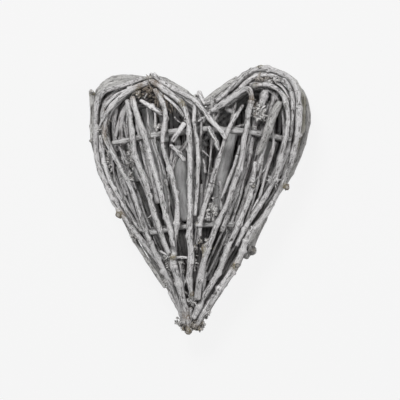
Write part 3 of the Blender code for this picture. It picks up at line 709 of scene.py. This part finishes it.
def bark_surface(along, radii, sides, rough, seed, joints, marks):
    """A twig's radius, the grain coordinates and the masks for its material, at each ring and side.

    The whole numbers added to the seed only keep one noise apart from the next.
    """
    angle = np.arange(sides) * 2 * math.pi / sides
    s, a = np.meshgrid(along, angle, indexing="ij")
    r = np.repeat(radii[:, None], sides, axis=1)
    mm = r * MM
    grain = np.stack([mm * np.cos(a), mm * np.sin(a), s * MM / GRAIN_STRETCH], axis=-1)
    grain += seed * np.array(GRAIN_SHIFT)
    lumps = np.stack([np.cos(a), np.sin(a), s * MM / LUMP_LENGTH], axis=-1) + seed * 2.9
    swell = np.stack([s * MM / SWELLING_LENGTH, np.full_like(s, seed * 1.3), np.zeros_like(s)], axis=-1)
    relief = (layered(swell, seed + 5, 2) - 0.5) * SWELLING
    relief += (noise(lumps, seed + 9) - 0.5) * LUMPS * rough
    relief += (layered(grain * 0.55, seed + 17, 3) - 0.5) * RIDGES * rough
    crack = 1 - smooth_step(0.0, 0.10, np.abs(noise(grain * 0.34 + 4.4, seed + 23) - 0.5))
    crack *= smooth_step(0.40, 0.60, noise(grain * 0.2 + 9.1, seed + 29))
    relief -= crack * CRACK_DEPTH * rough
    pits = np.stack([grain[..., 0], grain[..., 1], s * MM], axis=-1)
    pit = smooth_step(0.72, 0.84, noise(pits * 0.5, seed + 37))
    relief -= pit * PIT_DEPTH * rough
    hollow = np.clip(crack * 0.75 + pit * 0.7, 0, 1)
    rng = np.random.default_rng(seed)
    for place in joints:
        ds = s - place
        relief += rng.uniform(*JOINT_RISE) * rough * hump(ds, rng.uniform(*JOINT_WIDTH))
        fold = hump(ds + 0.0026, 0.0006) * smooth_step(0.35, 0.55, noise(lumps * 2.3, seed + 43))
        relief -= FOLD_DEPTH * rough * fold
        hollow = np.maximum(hollow, 0.9 * rough * fold)
        if rng.random() < BUMP_SHARE:
            side = rng.uniform(0, 2 * math.pi)
            bump = hump(ds - 0.001, 0.0019) * hump(angle_gap(a, side), 0.5)
            relief += rng.uniform(*BUMP_RISE) * rough * bump
            scar = hump(ds - 0.001, 0.0008) * hump(angle_gap(a, side), 0.22)
            relief -= SCAR_DEPTH * scar
            hollow = np.maximum(hollow, scar)
    patches = {kind: np.zeros_like(s) for kind in ("lichen", "brown", "olive_shade")}
    for kind, place, side, size in marks:
        ds = s - place
        turn = angle_gap(a, side)
        share = size / r
        if kind == "ring":
            relief += 0.30 * hump(ds, 0.0013) + 0.10 * hump(ds, 0.004)
            dark = hump(np.abs(ds) - 0.0022, 0.0007)
            relief -= 0.10 * dark
            hollow = np.maximum(hollow, dark)
        elif kind == "bud":
            bump = hump(ds, 0.9 * size) * hump(turn * r / size, 1.0)
            relief += share * 0.9 * bump
            scar = hump(ds, 0.3 * size) * hump(turn * r / size, 0.35)
            relief -= share * 0.45 * scar
            hollow = np.maximum(hollow, scar)
        elif kind == "knob":
            lump = hump(ds, size) * hump(turn * r / size, 1.1)
            rugged = layered(pits * 0.6, seed + 41, 2)
            relief += share * lump * (0.7 + 0.9 * (rugged - 0.4))
            hollow = np.maximum(hollow, lump * smooth_step(0.5, 0.3, rugged))
        else:
            around = hump(turn, 1.3) if kind == "lichen" else 1
            patches[kind] = np.maximum(patches[kind], hump(ds, size) * around)
        if kind == "lichen":
            relief += CRUST * noise(pits * 0.9, seed + 43) * hump(ds, size) * hump(turn, 1.2)
    return r * (1 + relief), grain, (np.clip(relief * 2.4 + 0.5, 0, 1), hollow, *patches.values())


def join_rings(rings, sides):
    """The quads of a tube's side."""
    first = np.arange(rings - 1)[:, None] * sides
    side = np.arange(sides)[None, :]
    after = (side + 1) % sides
    quads = np.stack([first + side, first + after, first + sides + after, first + sides + side], axis=-1)
    return quads.reshape(-1, 4)


def end_cap(rim, middle, flip):
    """Triangles from a ring of corners to the one in its middle."""
    after = np.roll(rim, -1)
    tip = np.full(len(rim), middle)
    return np.stack([after, rim, tip] if flip else [rim, after, tip], axis=1)


def make_shoot(path, radii, rings, rough, seed, marks=(), kink=KINK, blunt=True, inside=0.0, shade_share=1.0):
    """Corners, faces and masks of one twig, with its cut ends."""
    step, sides = rings
    path, radii, along = at_steps(path, radii, step)
    rng = np.random.default_rng(seed + SEED["joint"])
    joints = knot_places(rng, along[-1])
    path = kinked(path, along, joints, kink, rng)
    left = along[-1] - along
    taper = np.minimum(1, np.minimum(along, left) / END_ROUNDING + END_SHARE)
    if not blunt:
        taper = np.minimum(taper, (left / POINT_LENGTH) ** POINT_POWER + POINT_SHARE)
    thick, grain, masks = bark_surface(along, radii * taper, sides, rough, seed, joints, marks)
    ahead, across, out = frames(path)
    angle = np.arange(sides) * 2 * math.pi / sides
    spoke = across[:, None] * np.cos(angle)[None, :, None] + out[:, None] * np.sin(angle)[None, :, None]
    corners = path[:, None] + spoke * thick[..., None]
    # Painted shade: corners in clefts, on the flanks and facing the hollow are marked for darkening, by the
    # piece's share
    painted_darkness = painted_shade(corners, spoke, inside) * shade_share
    corners = corners.reshape(-1, 3)
    values = np.stack([*masks, painted_darkness, np.zeros_like(painted_darkness)], axis=-1).reshape(-1, len(MASKS))
    grain = grain.reshape(-1, 3)
    faces = [join_rings(len(path), sides)]
    triangles = []
    for ring, way, flip in ((0, -1, False), (len(path) - 1, 1, True)):
        rim = ring * sides + np.arange(sides)
        inner = len(corners) + np.arange(sides)
        lip = path[ring] + (corners[rim] - path[ring]) * LIP_SHARE + ahead[ring] * way * LIP_RISE
        middle = path[ring] - ahead[ring] * way * CUT_DIP
        corners = np.concatenate([corners, lip, middle[None]])
        face_grain = grain[rim] * (1, 1, 0) + (0, 0, seed + way)
        grain = np.concatenate([grain, face_grain, face_grain.mean(axis=0)[None]])
        values = np.concatenate([values, np.tile(CUT_MASKS, (sides + 1, 1))])
        loop = np.stack([rim, np.roll(rim, -1), np.roll(inner, -1), inner], axis=1)
        faces.append(loop if flip else loop[:, ::-1])
        triangles.append(end_cap(inner, inner[-1] + 1, not flip))
    corners[:, 2] = np.maximum(corners[:, 2], 0.0)
    return corners, np.concatenate(faces), np.concatenate(triangles), grain, values


def placed(name, data):
    """A new object in the scene."""
    made = bpy.data.objects.new(name, data)
    bpy.context.scene.collection.objects.link(made)
    return made


def make_object(name, shoots, tones, material):
    """One mesh object of several shoots, with the masks that its material reads."""
    counts = [len(shoot[0]) for shoot in shoots]
    starts = np.cumsum([0] + counts)
    corners, grain, values = (np.concatenate([shoot[k] for shoot in shoots]) for k in (0, 3, 4))
    quads, triangles = (np.concatenate([shoot[k] + start for shoot, start in zip(shoots, starts)])
                        for k in (1, 2))
    mesh = bpy.data.meshes.new(name)
    mesh.vertices.add(len(corners))
    mesh.vertices.foreach_set("co", corners.ravel())
    loops = np.concatenate([quads.ravel(), triangles.ravel()]).astype(np.int32)
    mesh.loops.add(len(loops))
    mesh.loops.foreach_set("vertex_index", loops)
    sizes = np.concatenate([np.full(len(quads), 4), np.full(len(triangles), 3)])
    mesh.polygons.add(len(sizes))
    starts = np.concatenate([[0], np.cumsum(sizes)[:-1]]).astype(np.int32)
    mesh.polygons.foreach_set("loop_start", starts)
    mesh.update(calc_edges=True)
    mesh.validate()
    mesh.shade_smooth()
    layer = mesh.attributes.new("grain", "FLOAT_VECTOR", "POINT")
    layer.data.foreach_set("vector", grain.astype(np.float32).ravel())
    for mask, value in (*zip(MASKS, values.T), ("tone", np.repeat(tones, counts))):
        layer = mesh.attributes.new(mask, "FLOAT", "POINT")
        layer.data.foreach_set("value", value.astype(np.float32))
    mesh.materials.append(material)
    return placed(name, mesh)


class Nodes:
    """Short ways to add and link a material's nodes."""

    def __init__(self, material):
        """Start on a material's own nodes."""
        material.use_nodes = True
        self.tree = material.node_tree
        self.shader = self.tree.nodes["Principled BSDF"]

    def feed(self, node, *inputs):
        """Link or set some inputs of a node."""
        for key, value in inputs:
            if isinstance(value, bpy.types.NodeSocket):
                self.tree.links.new(value, node.inputs[key])
            else:
                node.inputs[key].default_value = value

    def add(self, kind, inputs=(), **settings):
        """A new node with its inputs and settings."""
        node = self.tree.nodes.new("ShaderNode" + kind)
        for key, value in settings.items():
            setattr(node, key, value)
        self.feed(node, *inputs)
        return node

    def attribute(self, name, output="Fac"):
        """What the mesh keeps at its corners under a name."""
        return self.add("Attribute", attribute_name=name).outputs[output]

    def noise(self, name, vector):
        """One of the listed noises."""
        scale, detail, roughness = NOISES[name]
        inputs = (("Vector", vector), ("Scale", scale), ("Detail", detail), ("Roughness", roughness))
        return self.add("TexNoise", inputs).outputs["Fac"]

    def math(self, operation, a, b=0.0, clamp=False):
        """The result of an operation on two values."""
        return self.add("Math", ((0, a), (1, b)), operation=operation, use_clamp=clamp).outputs[0]

    def times(self, a, b, clamp=False):
        """The product of two values."""
        return self.math("MULTIPLY", a, b, clamp)

    def scaled(self, vector, share):
        """A colour made lighter or darker."""
        return self.add("VectorMath", ((0, vector), ("Scale", share)), operation="SCALE").outputs[0]

    def between(self, value, low, high, to_low=0.0, to_high=1.0):
        """A value taken smoothly from one range to another."""
        inputs = (("Value", value), ("From Min", low), ("From Max", high),
                  ("To Min", to_low), ("To Max", to_high))
        return self.add("MapRange", inputs, interpolation_type="SMOOTHSTEP").outputs[0]

    def mix(self, factor, a, b):
        """A mix of two colours."""
        a, b = (end if isinstance(end, bpy.types.NodeSocket) else (*end, 1.0) for end in (a, b))
        return self.add("Mix", ((0, factor), (6, a), (7, b)), data_type="RGBA").outputs[2]


def bark_material(name, wash, bark, cover, streak_contrast, pitting):
    """Weathered, whitewashed bark: wash on its ridges, bare bark, dark cracks, lichen and cut ends."""
    material = bpy.data.materials.new(name)
    n = Nodes(material)
    grain = n.attribute("grain", "Vector")
    stretch = ((0, grain), (1, (1.0, 1.0, GRAIN_STRETCH)))
    stretched = n.add("VectorMath", stretch, operation="MULTIPLY").outputs[0]
    tone = n.attribute("tone")
    streaks = n.noise("streaks", grain)
    fine = n.noise("fine", grain)
    crack = n.math("ABSOLUTE", n.math("SUBTRACT", n.noise("cracks", grain), 0.5))
    crack = n.between(crack, 0.008, 0.04, 1.0, 0.0)
    crack = n.times(crack, n.between(n.noise("cracked", grain), 0.38, 0.56, 0.0, 0.95))
    blotches = n.noise("blotches", stretched)
    specks = n.noise("specks", stretched)
    height = n.math("ADD", n.times(n.attribute("relief"), 0.5), n.times(streaks, streak_contrast))
    height = n.math("ADD", height, n.times(blotches, 0.35))
    colour = n.mix(n.between(height, 0.84 - cover, 1.06 - cover), bark, wash)
    shade = n.between(n.math("ADD", n.times(tone, 0.4), n.times(fine, 0.6)), 0.15, 0.85, 0.55, 1.14)
    colour = n.scaled(n.scaled(colour, shade), n.between(tone, 0.0, 0.22, 0.25, 1.0))
    # Painted shade: olive-grey patches darken the right rim
    colour = n.mix(n.attribute("olive_shade"), colour, OLIVE_SHADE)
    # Painted shade: corners in clefts, on the twigs' flanks and facing the hollow are mixed towards near
    # black
    colour = n.mix(n.attribute("painted_shade"), colour, PAINTED_SHADE_COLOUR)
    speck = n.between(specks, 0.585, 0.68)
    hollow = n.between(n.attribute("hollow"), 0.3, 1.0)
    dark = n.math("MAXIMUM", n.math("MAXIMUM", hollow, n.times(speck, 0.7), clamp=True), crack)
    colour = n.mix(n.times(dark, pitting), colour, CREVICE)
    ground = n.noise("ground", stretched)
    brown = n.times(n.attribute("brown"), n.between(ground, 0.35, 0.55), clamp=True)
    colour = n.mix(n.times(brown, 0.75), colour, BROWN)
    moss = n.between(n.attribute("lichen"), 0.15, 0.6)
    moss = n.times(moss, n.between(ground, 0.40, 0.55), clamp=True)
    moss_colour = n.mix(n.between(specks, 0.4, 0.6), LICHEN_DARK, LICHEN)
    colour = n.mix(n.times(moss, 0.85), colour, moss_colour)
    colour = n.mix(n.times(n.attribute("cut"), 0.75), colour, CUT_END)
    roughness = n.between(fine, 0.2, 0.8, 0.72, 0.95)
    bump_height = n.math("ADD", n.times(streaks, 0.7), n.times(fine, 0.3))
    bump_height = n.math("SUBTRACT", bump_height, n.times(n.math("MAXIMUM", speck, crack), 0.5))
    bump = n.add("Bump", (("Height", bump_height), ("Strength", 1.0), ("Distance", BUMP_DISTANCE)))
    n.feed(n.shader, ("Base Color", colour), ("Roughness", roughness), ("Specular IOR Level", SPECULAR),
           ("Normal", bump.outputs[0]))
    return material


def nearest(name, place):
    """The number of a twig's point nearest to a plan position, and how far off it is."""
    away = np.linalg.norm(SMOOTH[name][0][:, :2] - place, axis=1)
    k = int(away.argmin())
    return k, away[k]


def topmost(place):
    """The front-most twig at a plan position, the distance along it and the angle round it."""
    found = []
    for name, (path, radii, along) in SMOOTH.items():
        k, away = nearest(name, place)
        if away < radii[k] + MARK_REACH:
            found.append((path[k, 2] - away * MARK_PENALTY, name, k))
    name, k = max(found)[1:]
    path, radii, along = SMOOTH[name]
    across = frames(path)[1]
    offset = float(np.dot(place - path[k, :2], across[k, :2]))
    return name, along[k], math.acos(max(-1.0, min(1.0, offset / radii[k])))


def marks_by_twig():
    """Each twig's marks: the kind, the distance along it, the angle round it and the size."""
    found = {name: [] for name in NODES}
    for kind, rows in MARKS.items():
        for px, py, size in rows:
            name, place, side = topmost(spot(px, py))
            found[name].append((kind, place, side, size * PIXEL))
    return found


def twig(name, marks, materials):
    """The twig that replaces a solid."""
    path, radii = SMOOTH[name][:2]
    back = name.startswith("back_")
    rings, rough = (BACK_RINGS, ROUGHNESS["back"]) if back else (FRONT_RINGS, ROUGHNESS["front"])
    seed = NODES.index(name) + 1
    shoot = make_shoot(path, radii, rings, ROUGHNESS_OF.get(name, rough), seed, marks, inside=1.0)
    tone = np.random.default_rng(seed + SEED["tone"]).uniform(*TONES["twig"])
    finish = materials[FINISH_OF.get(name, SLOT[name])]
    made = make_object(name + "_bark", [shoot], [TONE_OF.get(name, tone)], finish)
    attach(made, "root")
    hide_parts(name)


def skin_height(place):
    """The height of the front twigs round a plan position, from the nearest of them."""
    near = []
    for name in FRONT_TWIGS:
        k, away = nearest(name, place)
        near.append((away, SMOOTH[name][0][k, 2]))
    near = sorted(near)[:SKIN_TWIGS]
    weights = np.array([1 / (away + SKIN_BLUR) ** 2 for away, z in near])
    return float(np.dot(weights, [z for away, z in near]) / weights.sum())


def add_piece(name, shoots, tones, slot, materials, finish=None):
    """A loose piece of several shoots that rides on the heart."""
    made = make_object(name, shoots, tones, materials[finish or slot])
    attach(made, "root")


def filling_strands(materials):
    """Thin strands in the grooves between neighbouring twigs, which close the back and the sides."""
    for group, (pairs, count, radius, lift, slot, finish) in FILLING.items():
        shoots, tones = [], []
        for number, (left, right) in enumerate(pairs):
            share = np.linspace(0, 1, FILLING_POINTS)
            first, second = (np.stack([np.interp(share, np.linspace(0, 1, len(p)), p[:, k])
                                       for k in range(3)], axis=1)
                             for p in (SMOOTH[left][0], SMOOTH[right][0]))
            for k in range(count):
                seed = SEED["filling"] + SEED_STEP["filling"] * number + k + len(group)
                rng = np.random.default_rng(seed)
                part = (k + 1) / (count + 1) + rng.uniform(-FILLING_SPREAD, FILLING_SPREAD)
                path = first * (1 - part) + second * part
                path[:, 2] += lift + rng.uniform(-FILLING_RISE, FILLING_RISE)
                keep = slice(int(rng.integers(0, 3)), FILLING_POINTS - int(rng.integers(1, 4)))
                path = smooth_path(path[keep], 4)
                thick = radius * rng.uniform(*FILLING_SIZES) * np.linspace(1.0, FILLING_TAPER, len(path))
                shoots.append(make_shoot(path, thick, COARSE_RINGS, ROUGHNESS["filling"], seed,
                                         inside=FILLING_SHADE))
                tones.append(rng.uniform(*TONES["filling"]))
        add_piece(group, shoots, tones, slot, materials, finish)


def laid_strands(materials, table, finish, rough, inside, shade_share, first_seed):
    """Strands that each lie level at their own height."""
    for group, (name, rows) in enumerate(table):
        shoots, tones = [], []
        for k, (height, thick, route) in enumerate(rows):
            seed = first_seed + SEED_STEP["laid"] * group + k
            path = smooth_path([(*spot(px, py), height / MM) for px, py in route], 10)
            radii = np.linspace(*thick, len(path)) * PIXEL / 2
            shoots.append(make_shoot(path, radii, COARSE_RINGS, rough, seed, inside=inside, shade_share=shade_share))
            tones.append(np.random.default_rng(seed).uniform(*TONES["laid"]))
        add_piece(name, shoots, tones, "back_bark", materials, finish)


def drawn_strands(materials):
    """Short strands, side shoots and tendrils that the picture shows between the main twigs."""
    for number, (name, drop, thick, route) in enumerate(STRANDS):
        places = [spot(px, py) for px, py in route]
        path = smooth_path([(*place, skin_height(place) - drop / MM) for place in places], 8)
        seed = SEED["strand"] + number
        radii = np.linspace(*thick, len(path)) * PIXEL / 2
        rings, rough = THIN_STRAND_RINGS, ROUGHNESS["thin"]
        if max(thick) > THICK_STRAND:
            rings, rough = THICK_STRAND_RINGS, ROUGHNESS["thick"]
        shoot = make_shoot(path, radii, rings, rough, seed, kink=KINK / 2, blunt=thick[1] > BLUNT_END)
        tone = np.random.default_rng(seed).uniform(*TONES["strand"])
        slot = "whitewashed_bark" if drop < DEEP_STRAND else "inner_bark"
        add_piece(name, [shoot], [tone], slot, materials)


def stubs(materials):
    """Knots and cut side shoots that stand up from the twigs."""
    shoots = []
    for number, (name, px, py, thick, rise, lean_x, lean_y) in enumerate(STUBS):
        place = spot(px, py)
        twig_name = topmost(place)[0]
        path, radii = SMOOTH[twig_name][:2]
        k = nearest(twig_name, place)[0]
        foot = np.array([*place, path[k, 2]])
        tip = foot + (lean_x * PIXEL, lean_y * PIXEL, radii[k] + rise / MM)
        line = np.linspace(foot, tip, len(STUB_PROFILE))
        swell = thick * PIXEL / 2 * np.array(STUB_PROFILE)
        crust = [(kind, *STUB_MARK) for kind in ("lichen", "brown") if "lichen" in name]
        shoots.append(make_shoot(line, swell, STUB_RINGS, ROUGHNESS["stub"], SEED["stub"] + number, crust,
                                 kink=0.0))
    add_piece("cut_stubs", shoots, [STUB_TONE] * len(shoots), "rim_bark", materials)


def shred(rng, place, size):
    """A curled shred of bark near a place: its path and radii."""
    length = size * rng.uniform(0.7, 1.6)
    heading = SHRED_HEADING + rng.normal(0, 0.7)
    lift = rng.uniform(-0.4, 0.7)
    way = np.array([math.cos(heading), math.sin(heading), lift])
    bend = rng.normal(0, 0.5, 3) * (1, 1, 0.6)
    t = np.linspace(-0.5, 0.5, 7)[:, None]
    path = place + way * t * length + bend * (t * t) * length
    radii = np.full(7, size * rng.uniform(0.07, 0.13)) * (1 - 0.5 * np.abs(t[:, 0]) * 2) + 0.00012
    return path, radii


def crumb(rng, place, size):
    """A knobbly crumb of bark or lichen: a short, thick shoot."""
    way = rng.normal(0, 1, 3)
    way /= np.linalg.norm(way)
    way[2] *= 0.6
    t = np.linspace(-0.5, 0.5, 6)[:, None]
    bulge = np.sqrt(1 - (2 * t[:, 0] * 0.93) ** 2)
    return place + way * t * size * rng.uniform(0.9, 1.8), bulge * size * rng.uniform(0.24, 0.42)


def cling(at, stack):
    """A point near the place, on the nearest twig's surface or a little off it."""
    away = np.linalg.norm(ALL_POINTS - at, axis=1) - ALL_RADII
    k = int(away.argmin())
    out = at - ALL_POINTS[k]
    distance = max(np.linalg.norm(out), 1e-6)
    return ALL_POINTS[k] + out / distance * min(distance, ALL_RADII[k] * 0.9 + stack)


def clusters(materials):
    """Tufts of shreds and crumbs that cling to the twigs."""
    for number, (name, px, py, wide, tall, count, size, drop, kind, finish) in enumerate(CLUSTERS):
        rng = np.random.default_rng(SEED["tuft"] + number)
        shoots, tones = [], []
        for k in range(count):
            x = px + rng.normal(0, BIT_SPREAD) * wide
            y = py + rng.normal(0, BIT_SPREAD) * tall
            height = skin_height(spot(x, y)) - (drop + rng.uniform(*BIT_DEPTHS)) / MM
            scale = size * BIT_SIZE * PIXEL * rng.uniform(*BIT_SIZES)
            at = np.array([*spot(x, y), height])
            if name in CLINGING:
                at = cling(at, STACKING * scale * rng.uniform(0, 1))
            third = k % 3 == 0
            curled = kind == "shreds" or (kind == "mixed" and third)
            path, radii = shred(rng, at, scale * SHRED_SIZE) if curled else crumb(rng, at, scale)
            seed = SEED["bit"] + SEED_STEP["bit"] * number + k
            step = max(lengths(path)[-1] / BIT_RINGS, SMALLEST_STEP)
            bit_marks = [BIT_MARK] if third and "lichen" in name else []
            shoots.append(make_shoot(path, radii, (step, BIT_SIDES), ROUGHNESS["bit"], seed, bit_marks,
                                     kink=0.0, blunt=not curled))
            tones.append(rng.uniform(*TONES["bit"]))
        slot = "rim_bark" if name.startswith("tip") else "inner_bark"
        add_piece(name, shoots, tones, slot, materials, finish)


def under_heart(places):
    """How deep each plan position lies inside the shaded outline, from 0 at its edge to 1."""
    route = np.array([spot(px, py) for px, py in SHADE_ROUTE])
    after = np.roll(route, -1, axis=0)
    inside = np.zeros(len(places), bool)
    away = np.full(len(places), np.inf)
    for a, b in zip(route, after):
        x, y = places.T
        crosses = (a[1] > y) != (b[1] > y)
        height = np.where(crosses, b[1] - a[1], 1.0)
        inside ^= crosses & (x < a[0] + (b[0] - a[0]) * (y - a[1]) / height)
        along = np.clip((places - a) @ (b - a) / ((b - a) @ (b - a)), 0, 1)
        away = np.minimum(away, np.linalg.norm(places - a - along[:, None] * (b - a), axis=1))
    return np.where(inside, smooth_step(0, SHADE_REACH, away), 0.0)


def pale_floor():
    """The floor, which glows evenly but for the shade under the heart."""
    fine = np.arange(-SHADE_GRID, SHADE_GRID + SHADE_CELL / 2, SHADE_CELL)
    ticks = np.array([-FLOOR_SIZE / 2, *fine, FLOOR_SIZE / 2])
    count = len(ticks)
    places = np.stack(np.meshgrid(ticks, ticks), axis=-1).reshape(-1, 2)
    first = (np.arange(count - 1)[:, None] * count + np.arange(count - 1)).ravel()
    faces = np.stack([first, first + 1, first + count + 1, first + count], axis=1)
    mesh = bpy.data.meshes.new("floor")
    mesh.from_pydata([(x, y, 0.0) for x, y in places], [], faces.tolist())
    shade = mesh.attributes.new("shade", "FLOAT", "POINT")
    shade.data.foreach_set("value", under_heart(places).astype(np.float32))
    material = bpy.data.materials.new("pale_floor")
    n = Nodes(material)
    glow = n.between(n.attribute("shade"), 0.0, 1.0, FLOOR_GLOW, 0.0)
    n.feed(n.shader, ("Emission Strength", glow), ("Emission Color", WHITE), ("Roughness", 1.0),
           ("Base Color", (*[FLOOR_DIFFUSE] * 3, 1.0)), ("Specular IOR Level", 0.0))
    mesh.materials.append(material)
    floor = placed("floor", mesh)
    floor.location.z = -FLOOR_DEPTH


def studio():
    """The pale floor, soft lights and the camera over the picture's centre."""
    pale_floor()
    for name, place, width, power in LIGHTS:
        lamp = bpy.data.lights.new(name, "AREA")
        lamp.shape = "DISK"
        lamp.size = width
        lamp.energy = power
        made = placed(name, lamp)
        made.location = place
        made.rotation_euler = (-made.location).to_track_quat("-Z", "Y").to_euler()
    world = bpy.data.worlds.new("studio")
    world.use_nodes = True
    background = world.node_tree.nodes["Background"]
    background.inputs["Color"].default_value = WHITE
    background.inputs["Strength"].default_value = AMBIENT
    bpy.context.scene.world = world
    bpy.context.scene.view_settings.view_transform = "Standard"
    camera = bpy.data.cameras.new("camera")
    camera.lens = LENS
    camera.sensor_width = SENSOR
    camera.clip_end = 20.0
    made = placed("camera", camera)
    distance = PICTURE_SIZE * PIXEL * LENS / SENSOR
    made.location = (*spot(AIM_X, AIM_Y), distance + FOCUS_HEIGHT)
    bpy.context.scene.camera = made


def smooth_line(name):
    """A twig's smooth centreline, its radii and the distance along it."""
    path, radii = LINES[name]
    fine = smooth_path(path)
    share = np.linspace(0, 1, len(radii))
    return fine, np.interp(np.linspace(0, 1, len(fine)), share, radii), lengths(fine)


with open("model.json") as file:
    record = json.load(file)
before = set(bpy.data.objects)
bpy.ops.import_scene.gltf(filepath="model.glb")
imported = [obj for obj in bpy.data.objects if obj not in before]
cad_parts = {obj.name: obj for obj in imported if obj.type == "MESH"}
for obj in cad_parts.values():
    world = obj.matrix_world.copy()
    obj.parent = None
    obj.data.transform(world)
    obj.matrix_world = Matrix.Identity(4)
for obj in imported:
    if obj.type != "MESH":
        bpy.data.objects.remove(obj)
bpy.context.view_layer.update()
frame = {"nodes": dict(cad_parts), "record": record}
NODES = sorted(frame["nodes"])
SLOT = {row["node"]: row["material_slot"] for row in frame["record"]["subparts"]}
LINES = {name: centreline(frame["nodes"][name]) for name in NODES}
SMOOTH = {name: smooth_line(name) for name in NODES}
ALL_POINTS = np.concatenate([line[0] for line in SMOOTH.values()])
ALL_RADII = np.concatenate([line[1] for line in SMOOTH.values()])
FULLNESS = fullness()
FRONT_TWIGS = [name for name in NODES if SLOT[name] == "whitewashed_bark"]
materials = {name: bark_material(name, *values) for name, values in BARKS.items()}
marks = marks_by_twig()
for name in NODES:
    twig(name, marks[name], materials)
filling_strands(materials)
for row in LAID:
    laid_strands(materials, *row)
drawn_strands(materials)
stubs(materials)
clusters(materials)
studio()
